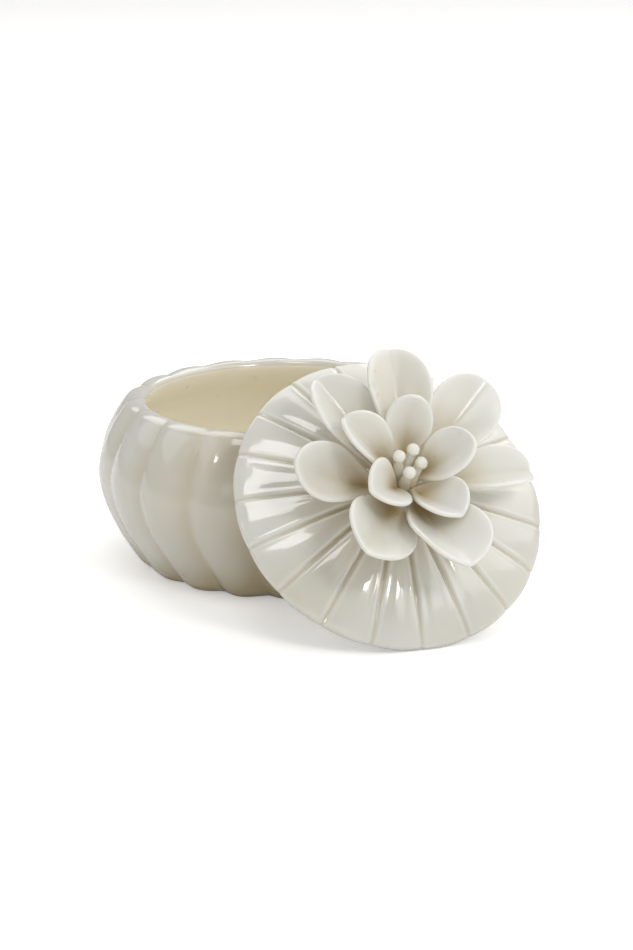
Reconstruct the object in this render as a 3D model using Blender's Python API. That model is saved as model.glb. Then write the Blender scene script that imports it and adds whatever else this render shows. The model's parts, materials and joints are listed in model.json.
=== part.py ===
"""Vanity trinket box in glazed porcelain: a ribbed round bowl, and a fluted lid with a flower as its handle.

The lid is off the bowl: its rim stands on the table and it leans on the bowl's shoulder. The units are
metres, +Z is up, and the origin is the centre of the bowl's foot. Ribs, petals and stamens are formed on
their own and luted together with slip before firing.
"""

import math
from collections import namedtuple

import bmesh
import bpy
from mathutils import Vector

MM = 0.001
GAP = 0.3 * MM  # between neighbouring pieces

# Ribs: the same count on the bowl and the lid, so that they line up when the box is closed
RIBS = 19
STEPS = 3 * RIBS  # flat facets round the bowl and the lid
RIB_SHARPNESS = 0.6  # under 1 gives wide full ribs with narrow grooves between them
BOWL_GROOVE = math.radians(-139.5)  # bearing of one groove, counted from +X
BOWL_TWIST = math.radians(5.0)  # how far the grooves wander between belly and foot
LID_GROOVE = math.radians(135.0)

# Bowl
BOWL_HEIGHT = 49.3 * MM
BELLY_RADIUS = 55.4 * MM
BELLY_HEIGHT = 27.9 * MM
FOOT_TUCK = 12.8 * MM  # how far the wall draws in from the belly down to the foot
SHOULDER_TUCK = 9.2 * MM  # and from the belly up to the lip
FOOT_CURVE = 1.7
SHOULDER_CURVE = 1.96
FOOT_RADIUS = 40.5 * MM
MOUTH_RADIUS = 41.0 * MM
LIP_RADIUS = 43.1 * MM  # the highest ring of the rounded lip
FLOOR_HEIGHT = 4.0 * MM

# Lid, in its own frame: the rim's underside is at height 0 and the crown is up
LID_RADIUS = 44.0 * MM
LID_LAND_RADIUS = 43.5 * MM  # outer edge of the flat that sits on the lip
LID_EDGE = 2.4 * MM
LID_CROWN = 10.8 * MM
LID_SHOULDER = 43.0 * MM
LID_CURVE = 2.2
SEAT_OUTER = 40.1 * MM  # shallow seat under the lid for the locating ring
SEAT_INNER = 36.0 * MM
SEAT_DEPTH = 1.0 * MM
LID_CEILING = 7.6 * MM
RING_OUTER = 39.8 * MM
RING_INNER = 36.8 * MM
RING_DEPTH = 3.8 * MM
RING_CHAMFER = 0.7 * MM
RING_STEPS = 48

# Flower
RECEPTACLE_RADIUS = 2.0 * MM
RECEPTACLE_HEIGHT = LID_CROWN + GAP + RECEPTACLE_RADIUS
PETAL_THICKNESS = 1.2 * MM
PETAL_WIDEST = 0.62  # where a petal is widest, as a share of its length
PETAL_ROOT_WIDTH = 0.15  # its width at the root, as a share of the widest
OUTER_ROOT = (5.2 * MM, 12.2 * MM)  # distance from the lid's axis, and height
INNER_ROOT = (3.9 * MM, 15.2 * MM)
PETAL_ROWS = (0.0, 0.15, 0.32, 0.5, 0.68, 0.84, 0.95)
PETAL_COLUMNS = 5

# Each petal is pulled by hand, so each has its own heading, rise, size, roll and fold (degrees and mm)
Petal = namedtuple("Petal", "heading rise tip_rise length width roll fold tip_fold")
OUTER_PETALS = (
    Petal(85, 34, 1, 33.6, 20.0, -2, 71, 19),
    Petal(41, 19, 15, 34.2, 20.9, 6, 61, 15),
    Petal(2, 15, -11, 33.7, 15.9, -3, 71, 39),
    Petal(-78, 28, 29, 31.8, 23.8, -7, 42, 24),
    Petal(-130, 27, 30, 30.7, 21.2, -9, 27, 13),
    Petal(167, 2, 40, 29.8, 17.6, -10, 49, 7),
    Petal(120, 18, 10, 31.9, 18.8, 0, 40, 29),
)
INNER_PETALS = (
    Petal(83, 36, 69, 22.0, 13.5, -7, 48, -1),
    Petal(0, 61, 53, 21.8, 15.4, -8, 45, 11),
    Petal(-57, 34, 28, 18.1, 16.3, -4, 48, 30),
    Petal(-157, 51, 34, 17.6, 16.2, -7, 54, 23),
    Petal(138, 42, 24, 22.5, 14.5, 0, 59, 33),
)
OUTER_FIRST = 82.0  # bearing of the first root of each whorl, in degrees
INNER_FIRST = 79.0

# Stamens: bearing of the root, and where the tip stands (x, y, height)
STAMEN_TIPS = ((-3.4, 3.4, 26.0), (1.2, 4.8, 26.5), (3.1, 0.9, 25.5), (-1.3, -2.0, 25.5))
STAMEN_BEARINGS = (155, 65, -25, -115)
STAMEN_ROOT = (1.6 * MM, 15.5 * MM)
STAMEN_RADIUS = 0.85 * MM
STAMEN_NECK = 0.75 * MM
STAMEN_TIP_RADIUS = 1.65 * MM
STAMEN_STEPS = 10

# How the lid leans
LEAN_TILT = math.radians(47.8)
LEAN_FACING = math.radians(20.3)  # the way the lid faces, turned from -Y
LEAN_BEARING = math.radians(26.7)  # where its centre stands, turned from -Y
LEAN_REACH = 62.6 * MM

Look = namedtuple("Look", "name color roughness")
IVORY = Look("ivory_glaze", (0.80, 0.78, 0.71), 0.12)
PETAL_GLAZE = Look("petal_glaze", (0.83, 0.81, 0.74), 0.30)
STAMEN_GLAZE = Look("stamen_glaze", (0.86, 0.82, 0.72), 0.40)


def clear_scene():
    for obj in list(bpy.data.objects):
        bpy.data.objects.remove(obj)


def glaze(name, look):
    material = bpy.data.materials.new(name + "_" + look.name)
    material.use_nodes = True
    shader = material.node_tree.nodes["Principled BSDF"]
    shader.inputs["Base Color"].default_value = (*look.color, 1.0)
    shader.inputs["Roughness"].default_value = look.roughness
    shader.inputs["Metallic"].default_value = 0.0
    return material


def make_object(name, mesh_builder, look, parent=None, location=(0, 0, 0), rotation=(0, 0, 0)):
    """A closed mesh from its builder, shaded smooth, under its parent."""
    mesh = bpy.data.meshes.new(name)
    bmesh.ops.recalc_face_normals(mesh_builder, faces=mesh_builder.faces)
    mesh_builder.to_mesh(mesh)
    mesh_builder.free()
    mesh.shade_smooth()
    mesh.set_sharp_from_angle(angle=math.radians(40))
    mesh.materials.append(glaze(name, look))
    obj = bpy.data.objects.new(name, mesh)
    bpy.context.collection.objects.link(obj)
    obj.parent = parent
    obj.location = location
    obj.rotation_euler = rotation
    return obj


def make_empty(name, location, rotation=(0, 0, 0), parent=None):
    empty = bpy.data.objects.new(name, None)
    empty.empty_display_size = 10 * MM
    bpy.context.collection.objects.link(empty)
    empty.parent = parent
    empty.location = location
    empty.rotation_euler = rotation
    return empty


def spin_profile(outline, steps, first=0.0, closed=False):
    """Turns an outline of (radius, height, groove depth) about Z; the depth rides along as a layer."""
    bm = bmesh.new()
    depth_layer = bm.verts.layers.float.new("groove")
    points = []
    for radius, height, depth in outline:
        place = (radius * math.cos(first), radius * math.sin(first), height)
        point = bm.verts.new(place)
        point[depth_layer] = depth
        points.append(point)
    edges = [bm.edges.new(pair) for pair in zip(points, points[1:])]
    if closed:
        edges.append(bm.edges.new((points[-1], points[0])))
    bmesh.ops.spin(
        bm,
        geom=points + edges,
        cent=(0, 0, 0),
        axis=(0, 0, 1),
        angle=math.tau,
        steps=steps,
        use_merge=True,
    )
    bmesh.ops.remove_doubles(bm, verts=bm.verts, dist=0.001 * MM)
    return bm


def press_grooves(bm, first, twist=None):
    """Draws each vertex in towards the axis by its groove depth, full at a groove and none on a rib."""
    depth_layer = bm.verts.layers.float["groove"]
    for vert in bm.verts:
        depth = vert[depth_layer]
        radius = vert.co.xy.length
        if depth == 0.0 or radius == 0.0:
            continue
        bearing = math.atan2(vert.co.y, vert.co.x)
        rib = abs(math.sin(RIBS * (bearing - first) / 2)) ** RIB_SHARPNESS
        turned = bearing + (twist(vert.co.z) if twist else 0.0)
        pressed = radius - depth * (1 - rib)
        vert.co.x = pressed * math.cos(turned)
        vert.co.y = pressed * math.sin(turned)


def wall_radius(height):
    """Outer radius of the bowl on a rib: a full belly that tucks in to the foot and to the lip."""
    if height < BELLY_HEIGHT:
        share = (BELLY_HEIGHT - height) / BELLY_HEIGHT
        return BELLY_RADIUS - FOOT_TUCK * share**FOOT_CURVE
    share = (height - BELLY_HEIGHT) / (BOWL_HEIGHT - BELLY_HEIGHT)
    return BELLY_RADIUS - SHOULDER_TUCK * share**SHOULDER_CURVE


def bowl_outline():
    """From the centre of the foot, up the outside, over the lip and down to the centre of the floor."""
    foot = [(0, 0, 0), (FOOT_RADIUS, 0, 0.9), (FOOT_RADIUS + 2.7 * MM, 0.9 * MM, 1.3)]
    wall = [
        (wall_radius(height * MM), height * MM, depth)
        for height, depth in ((4.2, 1.5), (10, 1.5), (18, 1.4), (28, 1.3), (35, 1.3), (41, 1.2), (45.6, 1.1))
    ]
    lip = [
        (LIP_RADIUS + 4.4 * MM, BOWL_HEIGHT - 1.6 * MM, 0.9),
        (LIP_RADIUS + 3.2 * MM, BOWL_HEIGHT - 0.6 * MM, 0.6),
        (LIP_RADIUS + 1.5 * MM, BOWL_HEIGHT - 0.1 * MM, 0.3),
        (LIP_RADIUS, BOWL_HEIGHT, 0),
        (MOUTH_RADIUS + 0.6 * MM, BOWL_HEIGHT - 0.7 * MM, 0),
        (MOUTH_RADIUS, BOWL_HEIGHT - 2.0 * MM, 0),
    ]
    inside = [
        (MOUTH_RADIUS + 1.3 * MM, 44.4 * MM, 0),
        (MOUTH_RADIUS + 5.4 * MM, 38.8 * MM, 0),
        (BELLY_RADIUS - 5.6 * MM, 31.8 * MM, 0),
        (BELLY_RADIUS - 5.0 * MM, 24.8 * MM, 0),
        (BELLY_RADIUS - 8.2 * MM, 14.0 * MM, 0),
        (FOOT_RADIUS + 1.7 * MM, 7.5 * MM, 0),
        (FOOT_RADIUS - 5.5 * MM, FLOOR_HEIGHT + 0.4 * MM, 0),
        (0, FLOOR_HEIGHT, 0),
    ]
    return [(radius, height, depth * MM) for radius, height, depth in foot + wall + lip + inside]


def bowl_twist(height):
    below = max(0.0, (BELLY_HEIGHT - height) / BELLY_HEIGHT)
    return BOWL_TWIST * below**1.5


def build_bowl():
    bm = spin_profile(bowl_outline(), STEPS, first=BOWL_GROOVE)
    press_grooves(bm, BOWL_GROOVE, bowl_twist)
    return make_object("bowl", bm, IVORY)


def lid_top(radius):
    return LID_EDGE + (LID_CROWN - LID_EDGE) * (1 - (radius / LID_SHOULDER) ** LID_CURVE)


def lid_underside(radius):
    return SEAT_DEPTH + (LID_CEILING - SEAT_DEPTH) * (1 - (radius / SEAT_INNER) ** LID_CURVE)


def lid_outline():
    """From the crown out over the top to the rim, and back along the underside."""
    top = [
        (radius * MM, lid_top(radius * MM), depth)
        for radius, depth in ((0, 0), (8, 0.2), (15, 1.1), (22, 1.2), (29, 1.0), (35.5, 0.8), (40.5, 0.6))
    ]
    rim = [
        (LID_SHOULDER, LID_EDGE, 0.45),
        (LID_RADIUS, 0.6 * LID_EDGE, 0.3),
        (LID_LAND_RADIUS, 0, 0.2),
        (SEAT_OUTER + 0.5 * MM, 0, 0),
        (SEAT_OUTER, SEAT_DEPTH, 0),
        (SEAT_INNER, SEAT_DEPTH, 0),
    ]
    under = [(radius * MM, lid_underside(radius * MM), 0) for radius in (28, 18, 9, 0)]
    return [(radius, height, depth * MM) for radius, height, depth in top + rim + under]


def build_lid_dome(parent):
    bm = spin_profile(lid_outline(), STEPS, first=LID_GROOVE)
    press_grooves(bm, LID_GROOVE)
    make_object("lid_dome", bm, IVORY, parent, location=(0, 0, -RECEPTACLE_HEIGHT))


def build_locating_ring(parent):
    """The ring luted under the lid that drops inside the bowl's mouth and centres the lid."""
    top = SEAT_DEPTH - GAP
    outline = [
        (RING_INNER, top, 0),
        (RING_OUTER, top, 0),
        (RING_OUTER, RING_CHAMFER - RING_DEPTH, 0),
        (RING_OUTER - RING_CHAMFER, -RING_DEPTH, 0),
        (RING_INNER + RING_CHAMFER, -RING_DEPTH, 0),
        (RING_INNER, RING_CHAMFER - RING_DEPTH, 0),
    ]
    bm = spin_profile(outline, RING_STEPS, closed=True)
    make_object("lid_locating_ring", bm, IVORY, parent, location=(0, 0, -RECEPTACLE_HEIGHT))


def build_receptacle(parent):
    """The small ball of clay in the middle of the flower that petals and stamens are luted round."""
    bm = bmesh.new()
    bmesh.ops.create_uvsphere(bm, u_segments=16, v_segments=8, radius=RECEPTACLE_RADIUS)
    make_object("flower_receptacle", bm, PETAL_GLAZE, parent)


def petal_half_width(petal, along):
    """Narrow root, widest past the middle, round tip."""
    if along < PETAL_WIDEST:
        growth = math.sin(math.pi / 2 * along / PETAL_WIDEST) ** 1.3
        share = PETAL_ROOT_WIDTH + (1 - PETAL_ROOT_WIDTH) * growth
    else:
        share = math.sqrt(max(0.0, 1 - ((along - PETAL_WIDEST) / (1 - PETAL_WIDEST)) ** 2))
    return share * petal.width * MM / 2


def petal_spine(petal, along):
    """(distance out, height, rise) on the midrib, which is an arc from the root's rise to the tip's."""
    start = math.radians(petal.rise)
    bend = math.radians(petal.tip_rise) - start
    rise = start + bend * along
    run = petal.length * MM / bend
    return run * (math.sin(rise) - math.sin(start)), run * (math.cos(start) - math.cos(rise)), rise


def petal_point(petal, along, across):
    """A point of the petal's middle surface: X runs outwards, Z is up, across goes from -1 to 1."""
    out, height, rise = petal_spine(petal, along)
    fold = math.radians(petal.fold + (petal.tip_fold - petal.fold) * along)
    roll = math.radians(petal.roll) * min(1.0, 1.5 * along)
    half = petal_half_width(petal, along)
    crease = 0.25
    lift = (math.hypot(across, crease) - crease) / (math.hypot(1, crease) - crease)
    side = across * half * math.cos(0.7 * fold)
    up = lift * half * math.sin(fold)
    normal = Vector((-math.sin(rise), 0, math.cos(rise)))
    sideways = Vector((0, math.cos(roll), 0)) + normal * math.sin(roll)
    upwards = normal * math.cos(roll) - Vector((0, math.sin(roll), 0))
    return Vector((out, 0, height)) + sideways * side + upwards * up


def petal_mesh(petal):
    """The middle surface as rows of points from the root, closed by one point at the tip."""
    bm = bmesh.new()
    columns = [2 * i / (PETAL_COLUMNS - 1) - 1 for i in range(PETAL_COLUMNS)]
    rows = [[bm.verts.new(petal_point(petal, row, column)) for column in columns] for row in PETAL_ROWS]
    tip = bm.verts.new(petal_point(petal, 1.0, 0.0))
    for near, far in zip(rows, rows[1:]):
        for i in range(PETAL_COLUMNS - 1):
            bm.faces.new((near[i], far[i], far[i + 1], near[i + 1]))
    for left, right in zip(rows[-1], rows[-1][1:]):
        bm.faces.new((left, tip, right))
    return bm


def build_petal(name, petal, bearing, root, parent):
    distance, height = root
    location = (distance * math.cos(bearing), distance * math.sin(bearing), height - RECEPTACLE_HEIGHT)
    rotation = (0, 0, math.radians(petal.heading))
    obj = make_object(name, petal_mesh(petal), PETAL_GLAZE, parent, location, rotation)
    thicken = obj.modifiers.new("thickness", "SOLIDIFY")
    thicken.thickness = PETAL_THICKNESS
    thicken.offset = 0.0
    thicken.use_even_offset = True


def build_whorl(prefix, petals, first, root, parent):
    for i, petal in enumerate(petals):
        bearing = math.radians(first - 360 * i / len(petals))
        build_petal(f"{prefix}_petal_{i + 1}", petal, bearing, root, parent)


def build_stamen(name, bearing, tip, parent):
    """A tapered stalk with a round head, turned along its own axis from root to tip."""
    root = Vector((STAMEN_ROOT[0] * math.cos(bearing), STAMEN_ROOT[0] * math.sin(bearing), STAMEN_ROOT[1]))
    reach = Vector(tip) * MM - root
    length = reach.length
    head = length - STAMEN_TIP_RADIUS
    outline = [(0, 0, 0), (STAMEN_RADIUS, 0, 0), (STAMEN_NECK, head - 0.9 * STAMEN_TIP_RADIUS, 0)]
    for angle in (-30, 10, 50):
        lift = math.radians(angle)
        outline.append((STAMEN_TIP_RADIUS * math.cos(lift), head + STAMEN_TIP_RADIUS * math.sin(lift), 0))
    outline.append((0, length, 0))
    location = root - Vector((0, 0, RECEPTACLE_HEIGHT))
    rotation = reach.to_track_quat("Z", "Y").to_euler()
    make_object(name, spin_profile(outline, STAMEN_STEPS), STAMEN_GLAZE, parent, location, rotation)


def lean_centre():
    """Centre of the lid's rim, with the land's lowest point on the table."""
    return Vector((
        LEAN_REACH * math.sin(LEAN_BEARING),
        -LEAN_REACH * math.cos(LEAN_BEARING),
        LID_LAND_RADIUS * math.sin(LEAN_TILT),
    ))


def lean_normal():
    return Vector((
        math.sin(LEAN_TILT) * math.sin(LEAN_FACING),
        -math.sin(LEAN_TILT) * math.cos(LEAN_FACING),
        math.cos(LEAN_TILT),
    ))


def swing_centre(receptacle):
    """Where the arm turns that carries the receptacle from here to above the bowl, to land straight down."""
    closed_height = BOWL_HEIGHT + GAP + RECEPTACLE_HEIGHT
    reach = receptacle.xy.length
    arm = (reach**2 + (closed_height - receptacle.z) ** 2) / (2 * reach)
    return Vector((receptacle.x * arm / reach, receptacle.y * arm / reach, closed_height))


def build_lid():
    receptacle = lean_centre() + lean_normal() * RECEPTACLE_HEIGHT
    swing = make_empty("lid_swing_axis", swing_centre(receptacle))
    rotation = (LEAN_TILT, 0, LEAN_FACING)
    tilt = make_empty("lid_tilt_axis", receptacle - swing.location, rotation, swing)
    build_receptacle(tilt)
    build_lid_dome(tilt)
    build_locating_ring(tilt)
    build_whorl("outer", OUTER_PETALS, OUTER_FIRST, OUTER_ROOT, tilt)
    build_whorl("inner", INNER_PETALS, INNER_FIRST, INNER_ROOT, tilt)
    for i, (bearing, tip) in enumerate(zip(STAMEN_BEARINGS, STAMEN_TIPS)):
        build_stamen(f"stamen_{i + 1}", math.radians(bearing), tip, tilt)


clear_scene()
build_bowl()
build_lid()
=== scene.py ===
"""Looks of the vanity trinket box: glazed porcelain bowl, fluted lid and hand-pulled flower.

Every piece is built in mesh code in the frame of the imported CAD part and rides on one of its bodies.
Lengths in the tables are millimetres; meshes are in metres. Bearings are counted from +X.
"""
import json
import math

import bmesh
import bpy
import numpy as np
from mathutils import Matrix, Vector, noise


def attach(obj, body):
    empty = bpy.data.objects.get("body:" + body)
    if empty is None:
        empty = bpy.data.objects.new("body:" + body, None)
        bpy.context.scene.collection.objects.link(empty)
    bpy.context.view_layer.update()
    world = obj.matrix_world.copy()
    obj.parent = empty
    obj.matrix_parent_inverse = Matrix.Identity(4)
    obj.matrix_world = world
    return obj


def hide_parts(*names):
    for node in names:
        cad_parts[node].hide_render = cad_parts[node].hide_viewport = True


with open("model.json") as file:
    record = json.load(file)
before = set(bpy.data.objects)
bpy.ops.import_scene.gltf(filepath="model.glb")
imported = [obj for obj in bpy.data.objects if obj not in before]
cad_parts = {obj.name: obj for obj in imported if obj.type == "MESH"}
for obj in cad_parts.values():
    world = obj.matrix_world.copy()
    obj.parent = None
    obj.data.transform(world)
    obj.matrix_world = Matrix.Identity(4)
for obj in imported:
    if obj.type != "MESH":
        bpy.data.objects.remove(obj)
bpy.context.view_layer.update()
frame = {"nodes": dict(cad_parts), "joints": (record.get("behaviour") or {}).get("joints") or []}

MM = 0.001
RIBS = 19
PANEL = math.tau / RIBS

# Bowl
BOWL_GROOVE = math.radians(-139.5)
BOWL_TWIST = math.radians(5.0)
BELLY_RADIUS = 55.25
BELLY_HEIGHT = 27.9
WALL_TOP = 49.3
FOOT_TUCK, FOOT_CURVE = 12.8, 1.7
SHOULDER_TUCK, SHOULDER_CURVE = 9.2, 1.96
GROOVE_SOFTNESS = 0.3
PAINTED_LID_SHADE_BEARING = math.radians(-78.0)  # middle of the bowl's side where the lid's shade and reflection are painted warm into the glaze
LOBE_SKEW = 0.75  # under 1 makes each lobe rise steeply just past its groove and fall away gently

# Lid, in its own frame: the rim's underside is at height 0 and the crown is up
LID_GROOVE = math.radians(135.0)
LID_EDGE, LID_CROWN, LID_SHOULDER, LID_CURVE = 2.4, 10.8, 43.0, 2.2

STROKE_DEPTH = 0.075  # fine radial strokes of the brush on each panel

# Flower
PETAL_HALF_THICKNESS = 0.64
PETAL_WIDEST = 0.62
PETAL_ROOT_WIDTH = 0.15
OUTER_ROOT = (5.2, 12.2)
INNER_ROOT = (3.9, 15.2)
OUTER_FIRST, INNER_FIRST = 82.0, 79.0
# heading, rise, tip rise, length, width, roll, fold, tip fold
OUTER_PETALS = (
    (85, 34, 1, 33.6, 20.0, -2, 71, 19),
    (41, 19, 15, 34.2, 20.9, 6, 61, 15),
    (2, 15, -11, 33.7, 15.9, -3, 71, 39),
    (-78, 28, 29, 31.8, 23.8, -7, 42, 24),
    (-130, 27, 30, 30.7, 21.2, -9, 27, 13),
    (167, 2, 40, 29.8, 17.6, -10, 49, 7),
    (120, 18, 10, 31.9, 18.8, 0, 40, 29),
)
INNER_PETALS = (
    (83, 36, 69, 22.0, 13.5, -7, 48, -1),
    (0, 61, 53, 21.8, 15.4, -8, 45, 11),
    (-57, 34, 28, 18.1, 16.3, -4, 48, 30),
    (-157, 51, 34, 17.6, 16.2, -7, 54, 23),
    (138, 42, 24, 22.5, 14.5, 0, 59, 33),
)
STAMEN_TIPS = ((-3.4, 3.4, 26.0), (1.2, 4.8, 26.5), (3.1, 0.9, 25.5), (-1.3, -2.0, 25.5))
STAMEN_BEARINGS = (155, 65, -25, -115)
STAMEN_ROOT = (1.6, 15.5)
STAMEN_HEAD = 1.8
RECEPTACLE_RADIUS = 2.0

# Points round each turned piece
RING_COLUMNS = 180
RECEPTACLE_COLUMNS = 40
STAMEN_COLUMNS = 28

# Studio, in metres and degrees
FLOOR_HALF_SIDE = 4.0
FLOOR_GLOW = 0.39  # seen by the camera only, so that the paper comes out white and lights nothing
LAMP_TARGET = (0.0, 0.0, 0.03)
SKY_COLOUR = (1.0, 0.98, 0.92, 1)
SKY_FADE = (0.25, 0.5)  # upward part of the direction between which the sky goes from low to high
CAMERA_PLACE = (0.0086, -0.8660, 0.2759)
CAMERA_PITCH = 73.825
CAMERA_LENS, CAMERA_SENSOR = 116.5, 36.0
# name, azimuth, elevation, distance, width, height, radiance
LAMPS = (
    ("overhead", -12, 68, 1.3, 0.38, 0.62, 3.1),
    ("back", 180, 55, 1.3, 1.8, 1.0, 1.2),
    ("right", 90, 40, 1.3, 1.0, 0.7, 1.1),
    ("right_rear", 135, 40, 1.3, 0.9, 0.7, 0.9),
    ("right_front", 50, 36, 1.3, 0.7, 0.6, 1.1),
    ("left", -90, 40, 1.3, 1.0, 0.7, 0.6),
    ("front", -6, 16, 1.6, 1.1, 0.35, 0.45),
    ("window_right", 36, 35, 1.1, 0.24, 0.18, 14.0),
    ("window_left", -48, 39, 1.1, 0.09, 0.11, 9.0),
)


# ---------------------------------------------------------------- the lid's frame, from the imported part
def node_points(name):
    mesh = frame["nodes"][name].data
    points = np.empty(len(mesh.vertices) * 3, np.float32)
    mesh.vertices.foreach_get("co", points)
    return points.reshape(-1, 3).astype(float)


def lid_frame():
    """4x4 from the lid's own frame (metres, rim underside at height 0) to the row frame."""
    tilt = next(joint for joint in frame["joints"] if joint["name"] == "lid_tilt")
    pivot = Vector(tilt["pos_m"])
    ring = np.unique(np.round(node_points("lid_locating_ring"), 6), axis=0).mean(axis=0)
    up = (pivot - Vector(ring)).normalized()
    across = Vector((0, 0, 1)).cross(up).normalized()
    slope = up.cross(across)
    lowest = ((node_points("lid_dome") - np.array(pivot)) @ np.array(up)).min()
    origin = pivot + up * lowest
    rows = Matrix((across, slope, up)).transposed().to_4x4()
    rows.translation = origin
    return rows, -lowest / MM


LID, RECEPTACLE_HEIGHT = lid_frame()
WORLD = Matrix.Identity(4)


# ---------------------------------------------------------------- mesh helpers
def make_piece(name, points, faces, material, body, node, place=WORLD, layers=None):
    """points in millimetres in the frame `place`; layers are per-point values the material reads."""
    mesh = bpy.data.meshes.new(name)
    mesh.from_pydata([tuple(p) for p in np.asarray(points) * MM], [], faces)
    for layer, values in (layers or {}).items():
        attribute = mesh.attributes.new(layer, "FLOAT", "POINT")
        attribute.data.foreach_set("value", np.asarray(values, np.float32))
    mesh.transform(place)
    mesh.update()
    mesh.shade_smooth()
    mesh.materials.append(material)
    obj = bpy.data.objects.new(name, mesh)
    bpy.context.scene.collection.objects.link(obj)
    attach(obj, body)
    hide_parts(node)
    return obj


def smooth_line(points, steps):
    """Catmull-Rom through the rows of points, `steps` to a span."""
    p = np.asarray(points, float)
    ends = np.vstack([2 * p[0] - p[1], p, 2 * p[-1] - p[-2]])
    out = []
    for i in range(len(p) - 1):
        a, b, c, d = ends[i : i + 4]
        for t in np.linspace(0, 1, steps, endpoint=False):
            square, cube = 2 * a - 5 * b + 4 * c - d, 3 * b - a - 3 * c + d
            out.append(0.5 * (2 * b + (c - a) * t + square * t**2 + cube * t**3))
    out.append(p[-1])
    return np.array(out)


def ring_faces(rows, columns, start_pole=True, end_pole=True, closed=False):
    """Quads of a surface of revolution; the poles, where asked for, are the two points after the grid."""
    faces = []
    spans = rows if closed else rows - 1
    for i in range(spans):
        near, far = i * columns, (i + 1) % rows * columns
        for j in range(columns):
            k = (j + 1) % columns
            faces.append((near + j, near + k, far + k, far + j))
    pole = rows * columns
    if start_pole:
        faces += [(pole, (j + 1) % columns, j) for j in range(columns)]
    if end_pole:
        last = (rows - 1) * columns
        faces += [(pole + 1, last + j, last + (j + 1) % columns) for j in range(columns)]
    return faces


def groove_bearings(first, offsets):
    """Bearings round the part, close together at each groove. Offsets are shares of half a panel."""
    half = [o * PANEL / 2 for o in offsets]
    around = sorted([-h for h in half if h > 0] + half)[:-1]
    return np.array([first + k * PANEL + a for k in range(RIBS) for a in around])


def wobble(points, size, seed):
    """Smooth noise from -1 to 1 at each point; size is its wavelength in millimetres."""
    shift = Vector((seed * 7.31, seed * 3.17, seed * 5.73))
    return np.array([noise.noise(Vector(p) / size + shift) for p in points])


# ---------------------------------------------------------------- glaze
BARE_CLAY = (0.55, 0.50, 0.42)


def glaze(name, light, warm, roughness, coat, coat_roughness, translucency):
    """Glossy porcelain: cloudy ivory colour, warm colour in the hollows that is partly pooled glaze and
    partly painted shade, edges paler from thinner glaze and painted highlight, faint orange peel.
    """
    material = bpy.data.materials.new(name)
    material.use_nodes = True
    tree = material.node_tree
    nodes, links = tree.nodes, tree.links
    shader = nodes["Principled BSDF"]
    where = nodes.new("ShaderNodeTexCoord").outputs["Object"]

    def field(wavelength, detail=2.0):
        node = nodes.new("ShaderNodeTexNoise")
        node.inputs["Scale"].default_value = 1000.0 / wavelength
        node.inputs["Detail"].default_value = detail
        links.new(where, node.inputs["Vector"])
        return node.outputs["Fac"]

    def spread(value, low, high, to_low=0.0, to_high=1.0):
        node = nodes.new("ShaderNodeMapRange")
        for slot, number in zip(("From Min", "From Max", "To Min", "To Max"), (low, high, to_low, to_high)):
            node.inputs[slot].default_value = number
        links.new(value, node.inputs["Value"])
        return node.outputs["Result"]

    def layer(attribute):
        node = nodes.new("ShaderNodeAttribute")
        node.attribute_name = attribute
        return node.outputs["Fac"]

    def mix(factor, first, second):
        node = nodes.new("ShaderNodeMix")
        node.data_type = "RGBA"
        for socket, value in ((node.inputs[6], first), (node.inputs[7], second)):
            if isinstance(value, tuple):
                socket.default_value = (*value, 1.0)
            else:
                links.new(value, socket)
        links.new(factor, node.inputs["Factor"])
        return node.outputs[2]

    def times(first, second):
        node = nodes.new("ShaderNodeMath")
        node.operation = "MULTIPLY"
        links.new(first, node.inputs[0])
        if isinstance(second, float):
            node.inputs[1].default_value = second
        else:
            links.new(second, node.inputs[1])
        return node.outputs[0]

    pool_and_shade = layer("pool_and_shade")
    thin_glaze_and_highlight = layer("thin_glaze_and_highlight")
    rough_clay = layer("bare")
    cloud = spread(field(26.0), 0.35, 0.68)
    color = mix(times(cloud, 0.22), light, warm)
    # warm colour in hollows and shaded places: partly pooled glaze, partly painted shade under the lid,
    # among the petals and in creases
    color = mix(times(pool_and_shade, 0.9), color, warm)
    # paler edges and lip ridges: partly thinner glaze, partly painted highlight
    color = mix(times(thin_glaze_and_highlight, 0.5), color, tuple(min(0.93, 1.1 * c) for c in light))
    color = mix(rough_clay, color, BARE_CLAY)
    links.new(color, shader.inputs["Base Color"])

    rough = nodes.new("ShaderNodeMix")
    links.new(spread(field(7.0), 0.3, 0.7, roughness * 0.75, roughness * 1.3), rough.inputs[2])
    rough.inputs[3].default_value = 0.75
    links.new(rough_clay, rough.inputs["Factor"])
    links.new(rough.outputs[0], shader.inputs["Roughness"])

    shader.inputs["IOR"].default_value = 1.5
    shader.inputs["Coat Weight"].default_value = coat
    shader.inputs["Coat Roughness"].default_value = coat_roughness
    shader.inputs["Coat IOR"].default_value = 1.6
    shader.inputs["Subsurface Weight"].default_value = translucency
    shader.inputs["Subsurface Radius"].default_value = (1.0, 0.88, 0.60)
    shader.inputs["Subsurface Scale"].default_value = 2.2 * MM

    total = nodes.new("ShaderNodeMath")
    total.operation = "ADD"
    links.new(times(field(9.0, 1.0), 0.03), total.inputs[0])
    links.new(times(field(1.7, 1.0), 0.006), total.inputs[1])
    bump = nodes.new("ShaderNodeBump")
    bump.inputs["Strength"].default_value = 1.0
    bump.inputs["Distance"].default_value = MM
    links.new(total.outputs[0], bump.inputs["Height"])
    links.new(bump.outputs["Normal"], shader.inputs["Normal"])
    links.new(bump.outputs["Normal"], shader.inputs["Coat Normal"])
    return material


IVORY = glaze("ivory_glaze", (0.785, 0.785, 0.74), (0.57, 0.47, 0.28), 0.14, 1.0, 0.04, 0.15)
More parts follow.
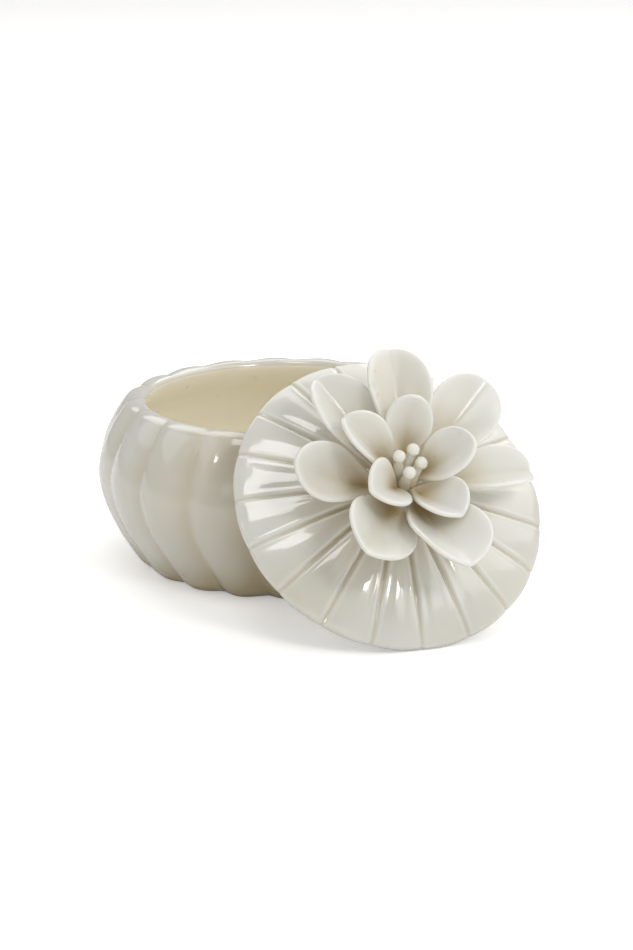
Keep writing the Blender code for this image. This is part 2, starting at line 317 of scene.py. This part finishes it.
# painted bounce light: a lighter, warmer copy of the ivory glaze for the inside of the bowl
INTERIOR_BOUNCE_LIT = glaze("interior_glaze_bounce_lit", (0.92, 0.885, 0.77), (0.90, 0.83, 0.65), 0.35, 0.1, 0.2, 0.0)
PETAL = glaze("petal_glaze", (0.84, 0.84, 0.80), (0.50, 0.37, 0.15), 0.34, 0.4, 0.2, 0.2)
STAMEN = glaze("stamen_glaze", (0.89, 0.88, 0.81), (0.60, 0.47, 0.27), 0.30, 0.5, 0.12, 0.30)


# ---------------------------------------------------------------- bowl
def wall_radius(height):
    if height < BELLY_HEIGHT:
        return BELLY_RADIUS - FOOT_TUCK * ((BELLY_HEIGHT - height) / BELLY_HEIGHT) ** FOOT_CURVE
    rise = (height - BELLY_HEIGHT) / (WALL_TOP - BELLY_HEIGHT)
    return BELLY_RADIUS - SHOULDER_TUCK * rise**SHOULDER_CURVE


def bowl_profile():
    """Rows of radius, height, lobe depth, warm share (pooled glaze and painted shade) and bare, from under
    the foot, over the lip, to the floor.
    """
    foot = [
        (33.0, 0.9, 0.0, 0.0, 1.0),
        (34.8, 0.8, 0.0, 0.0, 1.0),
        (36.0, 0.1, 0.0, 0.0, 1.0),
        (37.0, 0.0, 0.1, 0.0, 1.0),
        (40.0, 0.0, 0.7, 0.0, 1.0),
        (41.2, 0.2, 1.1, 0.6, 0.6),
        (42.5, 0.85, 1.4, 1.0, 0.0),
    ]
    depths = ((2.4, 1.6), (5, 1.65), (9, 1.6), (13, 1.5), (18, 1.35), (23, 1.25), (28, 1.2))
    depths += ((32, 1.2), (36, 1.2), (39, 1.2), (42, 1.15), (44.4, 1.1), (46.2, 1.05))
    # the warm share rises towards the foot: partly pooled glaze, partly painted shade
    wall = [(wall_radius(z), z, d, max(0.0, 0.85 - z / 12), 0.0) for z, d in depths]
    lip = [
        (47.35, 47.65, 1.0, 0.0, 0.0),
        (46.3, 48.5, 0.85, 0.0, 0.0),
        (44.8, 49.05, 0.6, 0.0, 0.0),
        (43.2, 49.2, 0.35, 0.0, 0.0),
        (41.9, 48.85, 0.15, 0.05, 0.0),
        (41.15, 47.9, 0.05, 0.1, 0.0),
        (41.05, 46.6, 0.0, 0.15, 0.0),
    ]
    # inside, the warm share rises towards the floor of the bowl: partly pooled glaze, partly painted shade
    inside = [
        (41.9, 44.4, 0.0, 0.2, 0.0),
        (43.8, 41.6, 0.0, 0.25, 0.0),
        (46.2, 38.6, 0.0, 0.3, 0.0),
        (48.9, 33.6, 0.0, 0.3, 0.0),
        (50.2, 27.6, 0.0, 0.3, 0.0),
        (49.4, 20.4, 0.0, 0.3, 0.0),
        (46.8, 13.7, 0.0, 0.4, 0.0),
        (42.4, 8.0, 0.0, 0.5, 0.0),
        (38.0, 5.3, 0.0, 0.6, 0.0),
        (33.0, 4.4, 0.0, 0.5, 0.0),
        (20.0, 4.05, 0.0, 0.4, 0.0),
    ]
    return smooth_line(foot + wall + lip + inside, 5)


def lobe_valley(bearings):
    """1 in a groove and 0 on the crest beside it, steep on the side past the groove."""
    share = (bearings - BOWL_GROOVE) / PANEL % 1
    soft = np.sqrt(np.sin(math.pi * share**LOBE_SKEW) ** 2 + GROOVE_SOFTNESS**2)
    return (math.hypot(1, GROOVE_SOFTNESS) - soft) / (math.hypot(1, GROOVE_SOFTNESS) - GROOVE_SOFTNESS)


def build_bowl():
    offsets = (0.0, 0.03, 0.06, 0.1, 0.14, 0.19, 0.25, 0.32, 0.4, 0.5, 0.62, 0.74, 0.87, 1.0)
    bearings = groove_bearings(BOWL_GROOVE, offsets)
    rows = bowl_profile()
    tangent = np.gradient(rows[:, :2], axis=0)
    tangent /= np.linalg.norm(tangent, axis=1)[:, None]
    inward = np.stack([-tangent[:, 1], tangent[:, 0]], axis=1)
    valley = lobe_valley(bearings)
    points, pool_and_shade, bare = [], [], []
    for (radius, height, depth, warmth, clay), pull in zip(rows, inward):
        below = max(0.0, (BELLY_HEIGHT - height) / BELLY_HEIGHT) if depth > 0 else 0.0
        turned = bearings + BOWL_TWIST * below**1.5
        r = radius + pull[0] * depth * valley
        z = np.maximum(0.0, height + pull[1] * depth * valley)
        points.append(np.stack([r * np.cos(turned), r * np.sin(turned), z], axis=1))
        # painted shade and reflection of the lid: a warm, darker patch on the bowl's front under the lid,
        # which stays in every pose
        thick = 0.85 * np.clip(np.cos(bearings - PAINTED_LID_SHADE_BEARING), 0, 1) ** 4 * (depth > 0)
        # warm colour in the grooves: partly pooled glaze, partly painted shade
        pool_and_shade.append(np.clip(warmth + thick + 0.3 * depth / 1.3 * (valley / valley.max()) ** 2, 0, 1))
        bare.append(np.full(len(bearings), clay))
    points = np.concatenate(points)
    handmade = wobble(points, 24.0, 1)
    points[:, :2] *= (1 + 0.003 * handmade)[:, None]
    points = np.vstack([points, (0, 0, 1.0), (0, 0, 4.0)])
    pool_and_shade = np.concatenate([*pool_and_shade, (0, 0.4)])
    bare = np.concatenate([*bare, (1, 0)])
    faces = ring_faces(len(rows), len(bearings))
    bowl = make_piece("bowl_body", points, faces, IVORY, "bowl", "bowl",
                      layers={"pool_and_shade": pool_and_shade, "bare": bare, "thin_glaze_and_highlight": np.zeros(len(points))})
    bowl.data.materials.append(INTERIOR_BOUNCE_LIT)
    inside_floor = len(points) - 1
    first_inside = int(np.argmax(rows[:, 1])) + 13  # rows past the top of the lip
    for face in bowl.data.polygons:
        lowest = min(face.vertices)
        on_wall = lowest < len(points) - 2 and lowest // len(bearings) >= first_inside
        if face.vertices[0] == inside_floor or on_wall:
            face.material_index = 1


# ---------------------------------------------------------------- lid
def lid_top(r):
    return LID_EDGE + (LID_CROWN - LID_EDGE) * (1 - (r / LID_SHOULDER) ** LID_CURVE)


def lid_rows():
    """Rows of radius, height, panel depth, V depth, lip height."""
    flute = ((0.8, 0, 0, 0), (2.5, 0, 0, 0), (4, 0, 0, 0), (6, 0, 0, 0), (8, 0.1, 0.05, 0))
    flute += ((10, 0.25, 0.15, 0.03),)
    flute += ((12.5, 0.5, 0.35, 0.08), (15, 0.7, 0.45, 0.14), (18, 0.85, 0.5, 0.2), (22, 0.95, 0.5, 0.24))
    flute += ((26, 0.95, 0.48, 0.25), (29.5, 0.9, 0.45, 0.24), (33, 0.8, 0.4, 0.21), (36, 0.65, 0.35, 0.18))
    flute += ((38.5, 0.5, 0.32, 0.14), (40.3, 0.4, 0.3, 0.1), (41.7, 0.32, 0.28, 0.08))
    top = [(r, lid_top(r) + 1.5 * math.exp(-(((r - 5.2) / 1.8) ** 2)), a, b, c) for r, a, b, c in flute]
    rim = [
        (42.8, 2.4, 0.26, 0.28, 0.06),
        (43.5, 1.98, 0.24, 0.25, 0.04),
        (43.85, 1.35, 0.22, 0.22, 0.02),
        (43.85, 0.75, 0.2, 0.18, 0.0),
        (43.55, 0.22, 0.18, 0.12, 0.0),
        (42.9, 0.02, 0.1, 0.05, 0.0),
        (41.8, 0.0, 0.0, 0.0, 0.0),
        (40.9, 0.0, 0.0, 0.0, 0.0),
        (40.3, 0.25, 0.0, 0.0, 0.0),
        (40.05, 0.9, 0.0, 0.0, 0.0),
        (38.1, 1.0, 0.0, 0.0, 0.0),
        (36.2, 1.0, 0.0, 0.0, 0.0),
    ]
    hollow = (33.6, 30, 25, 19, 13, 7, 2)
    under = [(r, 1.0 + 6.6 * (1 - (r / 36.0) ** LID_CURVE), 0.0, 0.0, 0.0) for r in hollow]
    return smooth_line(top + rim + under, 5)


def build_lid_dome():
    offsets = (0.0, 0.025, 0.05, 0.08, 0.11, 0.145, 0.18, 0.22, 0.27)
    offsets += (0.33, 0.41, 0.52, 0.66, 0.82, 1.0)
    bearings = groove_bearings(LID_GROOVE, offsets)
    away = (bearings - LID_GROOVE + PANEL / 2) % PANEL - PANEL / 2
    phase = np.abs(away) / PANEL * math.pi
    bulge = 1 - np.sin(phase) ** 1.1
    strokes = np.sin((bearings - LID_GROOVE) * RIBS * 4 + 1.3 * np.sin(3 * bearings)) * np.sin(phase)
    strokes *= 0.5 - 0.5 * np.sin(bearings)
    rows = lid_rows()
    tangent = np.gradient(rows[:, :2], axis=0)
    tangent /= np.linalg.norm(tangent, axis=1)[:, None]
    inward = np.stack([tangent[:, 1], -tangent[:, 0]], axis=1)
    points, pool_and_shade, thin_glaze_and_highlight = [], [], []
    for (radius, height, panel, vee, lip), pull in zip(rows, inward):
        d = np.abs(away) * radius
        cut = np.exp(-((d / 0.55) ** 2))
        ridge = np.exp(-(((d - 1.15) / 0.5) ** 2))
        brushed = STROKE_DEPTH * math.exp(-(((radius - 31.0) / 6.5) ** 2))
        press = panel * bulge + vee * cut - lip * ridge + brushed * strokes
        r = radius + pull[0] * press
        z = height + pull[1] * press
        points.append(np.stack([r * np.cos(bearings), r * np.sin(bearings), z], axis=1))
        # painted shadow of the petals on the middle of the lid, and warm colour in the grooves that is
        # partly pooled glaze and partly painted shade
        shaded = 0.5 * math.exp(-((radius / 25.0) ** 4))
        pool_and_shade.append(shaded + (1 - shaded) * 0.6 * min(1.0, vee / 0.5) * cut)
        # lighter lip ridges beside the grooves: partly thinner glaze, partly painted highlight
        thin_glaze_and_highlight.append(min(1.0, lip / 0.2) * ridge)
    points = np.concatenate(points)
    handmade = wobble(points, 17.0, 2)
    points[:, 2] += 0.14 * handmade * np.clip(1 - np.hypot(points[:, 0], points[:, 1]) / 46, 0, 1)
    points = np.vstack([points, (0, 0, lid_top(0)), (0, 0, 7.6)])
    layers = {
        "pool_and_shade": np.concatenate([*pool_and_shade, (0, 0)]),
        "thin_glaze_and_highlight": np.concatenate([*thin_glaze_and_highlight, (0, 0)]),
        "bare": np.zeros(len(points)),
    }
    faces = [face[::-1] for face in ring_faces(len(rows), len(bearings))]
    make_piece("lid_dome_fluted", points, faces, IVORY, "lid", "lid_dome", LID, layers)


def build_locating_ring():
    section = [(37.1, 0.65), (39.5, 0.65), (39.75, 0.3), (39.75, -2.8), (39.5, -3.4), (38.9, -3.75)]
    section += [(37.7, -3.75), (37.1, -3.4), (36.85, -2.8), (36.85, 0.3)]
    rows = smooth_line(section + section[:1], 4)[:-1]
    bearings = np.linspace(0, math.tau, RING_COLUMNS, endpoint=False)
    points = []
    for radius, height in rows:
        r = radius + 0.06 * np.sin(3 * bearings + height)
        level = np.full(RING_COLUMNS, height)
        points.append(np.stack([r * np.cos(bearings), r * np.sin(bearings), level], axis=1))
    points = np.concatenate(points)
    faces = [face[::-1] for face in ring_faces(len(rows), RING_COLUMNS, False, False, True)]
    bare = np.clip((-3.0 - points[:, 2]) / 0.4, 0, 1)
    # an even share of the warm colour over the whole ring
    layers = {"pool_and_shade": np.full(len(points), 0.3), "thin_glaze_and_highlight": np.zeros(len(points)), "bare": 0.6 * bare}
    make_piece("locating_ring_glazed", points, faces, IVORY, "lid", "lid_locating_ring",
               LID, layers)


# ---------------------------------------------------------------- flower
def petal_half_width(a):
    a = np.asarray(a, float)
    growth = np.sin(math.pi / 2 * np.clip(a / PETAL_WIDEST, 0, 1)) ** 1.3
    tip = np.sqrt(np.clip(1 - ((a - PETAL_WIDEST) / (1 - PETAL_WIDEST)) ** 2, 0, 1))
    return np.where(a < PETAL_WIDEST, PETAL_ROOT_WIDTH + (1 - PETAL_ROOT_WIDTH) * growth, tip)


def petal_surface(shape, x, y):
    """Middle surface at x along and y across the flat petal: X runs outwards from the root, Z is up."""
    heading, rise, tip_rise, length, width, roll, fold, tip_fold = shape
    a = np.clip(x / length, -0.2, 1.2)
    half = np.maximum(petal_half_width(np.clip(a, 0, 1)) * width / 2, 0.5)
    across = np.clip(y / half, -1.15, 1.15)
    start, bend = math.radians(rise), math.radians(tip_rise - rise)
    angle = start + bend * a
    out = length / bend * (np.sin(angle) - math.sin(start))
    height = length / bend * (math.cos(start) - np.cos(angle))
    folded = np.radians(fold + (tip_fold - fold) * a)
    rolled = math.radians(roll) * np.clip(1.5 * a, 0, 1)
    crease = 0.25
    lift = (np.hypot(across, crease) - crease) / (math.hypot(1, crease) - crease)
    side = across * half * np.cos(0.7 * folded)
    up = lift * half * np.sin(folded)
    n = np.stack([-np.sin(angle), 0 * angle, np.cos(angle)], axis=-1)
    e = np.array([0.0, 1.0, 0.0])
    sideways = np.cos(rolled)[..., None] * e + np.sin(rolled)[..., None] * n
    upwards = np.cos(rolled)[..., None] * n - np.sin(rolled)[..., None] * e
    base = np.stack([out, 0 * out, height], axis=-1)
    return base + sideways * side[..., None] + upwards * up[..., None]


def petal_outline(shape):
    """Flat outline, round from the root along one side to the tip and back, and its point on the midrib."""
    length, width = shape[3], shape[4]
    low = np.linspace(0, PETAL_WIDEST, 22, endpoint=False)
    high = PETAL_WIDEST + (1 - PETAL_WIDEST) * np.sin(np.linspace(0, math.pi / 2, 26))
    a = np.concatenate([low, high])
    half = petal_half_width(a) * width / 2
    one_side = np.stack([a * length, half], axis=1)
    other = one_side[-2::-1] * (1, -1)
    root = [(0.0, y) for y in np.linspace(-half[0], half[0], 6)[1:-1]]
    outline = np.vstack([one_side, other, root])
    rib = np.stack([np.clip(outline[:, 0], 1.6, length - 0.36 * width), 0 * outline[:, 0]], axis=1)
    return outline, rib


def petal_piece(name, shape, bearing, root, seed, node):
    outline, rib = petal_outline(shape)
    spoke = outline - rib
    reach = np.linalg.norm(spoke, axis=1)
    thick = PETAL_HALF_THICKNESS
    margins = [0.0, 0.04, 0.16, 0.36, 0.62, 0.95]
    inner = 10
    shares = [1 - m * thick / reach for m in margins[:-1]]
    limit = 1 - margins[-1] * thick / reach
    shares += [limit * (1 - k / inner) for k in range(inner + 1)]
    flat = [rib + spoke * share[:, None] for share in shares]
    flat = np.concatenate(flat)
    depth = np.concatenate([reach * (1 - share) for share in shares])
    step = 0.04
    x, y = flat[:, 0], flat[:, 1]
    surface = petal_surface(shape, x, y)
    along = petal_surface(shape, x + step, y) - petal_surface(shape, x - step, y)
    over = petal_surface(shape, x, y + step) - petal_surface(shape, x, y - step)
    normal = np.cross(along, over)
    normal /= np.linalg.norm(normal, axis=1)[:, None]
    share = flat[:, 0] / shape[3]
    surface += normal * (0.30 * wobble(surface, 9.0, seed) * np.clip(2 * share, 0, 1))[:, None]
    rounding = np.sqrt(1 - (1 - np.clip(depth / thick, 0, 1)) ** 2)
    body = thick * (1 + 0.5 * np.clip(1 - share / 0.25, 0, 1))
    offset = (body * rounding)[:, None] * normal
    count, columns = len(flat), len(outline)
    rings = len(shares)
    points = np.vstack([surface + offset, (surface - offset)[columns:]])
    faces = []
    for side in (0, 1):
        for i in range(rings - 1):
            near = i * columns
            far = near + columns
            if side:
                near = near if i == 0 else near + count - columns
                far = far + count - columns
            for j in range(columns):
                k = (j + 1) % columns
                quad = (near + j, near + k, far + k, far + j)
                faces.append(quad if side == 0 else quad[::-1])
    values = np.concatenate([np.arange(count), np.arange(count)[columns:]])
    # lighter rims of the petals: partly thinner glaze, partly painted highlight
    thin_glaze_and_highlight = np.clip(1 - depth / 2.6, 0, 1)[values]
    # painted shade: warm and darker towards the root, where the petals crowd together, and along the folded
    # midrib
    painted_midrib_shade = np.exp(-((flat[:, 1] / 1.9) ** 2)) * np.clip(1.4 - share / 0.65, 0, 1)
    pool_and_shade = np.clip(1.5 * np.clip(1 - share / 0.64, 0, 1) ** 1.5 + 0.25 * painted_midrib_shade, 0, 1)[values]
    turn = Matrix.Rotation(math.radians(shape[0]), 4, "Z")
    at = Vector((root[0] * math.cos(bearing), root[0] * math.sin(bearing), root[1])) * MM
    layers = {"pool_and_shade": pool_and_shade, "thin_glaze_and_highlight": thin_glaze_and_highlight, "bare": np.zeros(len(points))}
    place = LID @ Matrix.Translation(at) @ turn
    piece = make_piece(name, points, faces, PETAL, "lid", node, place, layers)
    weld(piece)


def weld(obj):
    """Merges points that coincide, such as those of a petal along its midrib."""
    bm = bmesh.new()
    bm.from_mesh(obj.data)
    bmesh.ops.remove_doubles(bm, verts=bm.verts, dist=0.002 * MM)
    bmesh.ops.recalc_face_normals(bm, faces=bm.faces)
    bm.to_mesh(obj.data)
    bm.free()
    obj.data.shade_smooth()


def build_flower():
    for i, shape in enumerate(OUTER_PETALS):
        bearing = math.radians(OUTER_FIRST - 360 * i / len(OUTER_PETALS))
        node = f"outer_petal_{i + 1}"
        petal_piece(f"{node}_glazed", shape, bearing, OUTER_ROOT, 10 + i, node)
    for i, shape in enumerate(INNER_PETALS):
        bearing = math.radians(INNER_FIRST - 360 * i / len(INNER_PETALS))
        node = f"inner_petal_{i + 1}"
        petal_piece(f"{node}_glazed", shape, bearing, INNER_ROOT, 30 + i, node)


def build_receptacle():
    """The ball of clay in the middle, slightly lumpy."""
    radius, columns = RECEPTACLE_RADIUS, RECEPTACLE_COLUMNS
    latitudes = np.radians(np.linspace(-80, 80, 21))
    rows = [(radius * math.cos(a), RECEPTACLE_HEIGHT + radius * math.sin(a)) for a in latitudes]
    turn = np.linspace(0, math.tau, columns, endpoint=False)
    points = [np.stack([r * np.cos(turn), r * np.sin(turn), np.full(columns, z)], axis=1) for r, z in rows]
    centre = np.array((0, 0, RECEPTACLE_HEIGHT))
    points = np.vstack([*points, centre - (0, 0, radius), centre + (0, 0, radius)])
    points = centre + (points - centre) * (0.97 + 0.03 * wobble(points, 1.6, 50))[:, None]
    faces = ring_faces(len(rows), columns)
    # painted shade: the whole ball is tinted warm and dark, deep among the petals
    layers = {"pool_and_shade": np.ones(len(points)), "thin_glaze_and_highlight": np.zeros(len(points)), "bare": np.zeros(len(points))}
    make_piece("receptacle_clay", points, faces, PETAL, "lid_carrier", "flower_receptacle",
               LID, layers)


def build_stamen(name, bearing, tip, seed, node):
    """A stalk that widens where it was pressed in, with a round head, swept along a gentle bend."""
    out, up = STAMEN_ROOT
    root = np.array((out * math.cos(bearing), out * math.sin(bearing), up))
    tip = np.array(tip, float)
    middle = root * (0.45, 0.45, 0) + tip * (0.55, 0.55, 0) + (0, 0, 0.5 * (root[2] + tip[2]) + 0.2)
    head = STAMEN_HEAD
    reach = np.linalg.norm(tip - root)
    stalk = [(0.0, 1.7), (0.03, 2.2), (0.10, 2.05), (0.22, 1.75), (0.4, 1.5), (0.58, 1.36), (0.68, 1.32)]
    ball = []
    for degrees in (-42, -22, 0, 20, 40, 58, 74):
        lift = math.radians(degrees)
        ball.append((1 - (head - head * math.sin(lift)) / reach, head * math.cos(lift)))
    rows = smooth_line(stalk + ball, 4)
    columns = STAMEN_COLUMNS
    turn = np.linspace(0, math.tau, columns, endpoint=False)
    points, pool_and_shade = [], []
    for t, radius in rows:
        centre = root * (1 - t) ** 2 + middle * 2 * t * (1 - t) + tip * t**2
        direction = 2 * (1 - t) * (middle - root) + 2 * t * (tip - middle)
        direction /= np.linalg.norm(direction)
        e1 = np.cross(direction, (0, 1, 0))
        e1 /= np.linalg.norm(e1)
        e2 = np.cross(direction, e1)
        points.append(centre + radius * (np.cos(turn)[:, None] * e1 + np.sin(turn)[:, None] * e2))
        # painted shade: warm and darker towards the stalk's root among the petals
        pool_and_shade.append(np.full(columns, 0.8 * max(0.0, 1 - 1.8 * t)))
    points = np.vstack([*points, root, tip])
    points += 0.05 * np.stack([wobble(points, 1.8, seed + k) for k in range(3)], axis=1)
    pool_and_shade = np.concatenate([*pool_and_shade, (0.8, 0.0)])
    faces = ring_faces(len(rows), columns)
    layers = {"pool_and_shade": pool_and_shade, "thin_glaze_and_highlight": np.zeros(len(points)), "bare": np.zeros(len(points))}
    piece = make_piece(name, points, faces, STAMEN, "lid", node, LID, layers)
    weld(piece)


def build_stamens():
    for i, (bearing, tip) in enumerate(zip(STAMEN_BEARINGS, STAMEN_TIPS)):
        build_stamen(f"stamen_{i + 1}_glazed", math.radians(bearing), tip, 60 + 5 * i, f"stamen_{i + 1}")


# ---------------------------------------------------------------- studio
def build_floor():
    mesh = bpy.data.meshes.new("floor")
    side = FLOOR_HALF_SIDE
    corners = [(-side, -side, 0), (side, -side, 0), (side, side, 0), (-side, side, 0)]
    mesh.from_pydata(corners, [], [(0, 1, 2, 3)])
    floor = bpy.data.objects.new("floor", mesh)
    bpy.context.scene.collection.objects.link(floor)
    material = bpy.data.materials.new("floor_paper")
    material.use_nodes = True
    nodes, links = material.node_tree.nodes, material.node_tree.links
    shader = nodes["Principled BSDF"]
    shader.inputs["Base Color"].default_value = (0.93, 0.93, 0.93, 1)
    shader.inputs["Roughness"].default_value = 0.9
    shader.inputs["Specular IOR Level"].default_value = 0.0
    shader.inputs["Emission Color"].default_value = (1, 1, 1, 1)
    seen = nodes.new("ShaderNodeMath")
    seen.operation = "MULTIPLY"
    seen.inputs[1].default_value = FLOOR_GLOW
    links.new(nodes.new("ShaderNodeLightPath").outputs["Is Camera Ray"], seen.inputs[0])
    links.new(seen.outputs[0], shader.inputs["Emission Strength"])
    mesh.materials.append(material)


def softbox(name, azimuth, elevation, distance, width, height, radiance):
    """An area light that faces the box. Azimuth 0 is the camera's side and 90 is +X."""
    light = bpy.data.lights.new(name, "AREA")
    light.shape = "RECTANGLE"
    light.size, light.size_y = width, height
    light.energy = radiance * math.pi * width * height
    lamp = bpy.data.objects.new(name, light)
    a, e = math.radians(azimuth), math.radians(elevation)
    toward = Vector((math.sin(a) * math.cos(e), -math.cos(a) * math.cos(e), math.sin(e)))
    lamp.location = Vector(LAMP_TARGET) + toward * distance
    lamp.rotation_euler = toward.to_track_quat("Z", "Y").to_euler()
    bpy.context.scene.collection.objects.link(lamp)


def build_world(low, high):
    """Even light of strength `low` from below and the sides, and `high` from above."""
    world = bpy.data.worlds.new("studio")
    bpy.context.scene.world = world
    world.use_nodes = True
    nodes, links = world.node_tree.nodes, world.node_tree.links
    sky = nodes["Background"]
    split = nodes.new("ShaderNodeSeparateXYZ")
    links.new(nodes.new("ShaderNodeTexCoord").outputs["Generated"], split.inputs[0])
    ramp = nodes.new("ShaderNodeMapRange")
    ramp.inputs["From Min"].default_value = SKY_FADE[0]
    ramp.inputs["From Max"].default_value = SKY_FADE[1]
    ramp.inputs["To Min"].default_value = low
    ramp.inputs["To Max"].default_value = high
    links.new(split.outputs["Z"], ramp.inputs["Value"])
    links.new(ramp.outputs["Result"], sky.inputs["Strength"])
    sky.inputs["Color"].default_value = SKY_COLOUR


def build_camera():
    camera = bpy.data.cameras.new("camera")
    camera.lens = CAMERA_LENS
    camera.sensor_width = CAMERA_SENSOR
    eye = bpy.data.objects.new("camera", camera)
    eye.location = CAMERA_PLACE
    eye.rotation_euler = (math.radians(CAMERA_PITCH), 0, 0)
    bpy.context.scene.collection.objects.link(eye)
    bpy.context.scene.camera = eye


build_bowl()
build_lid_dome()
build_locating_ring()
build_receptacle()
build_flower()
build_stamens()
build_floor()
build_world(0.50, 0.24)
for lamp in LAMPS:
    softbox(*lamp)
build_camera()
bpy.context.scene.view_settings.view_transform = "Standard"
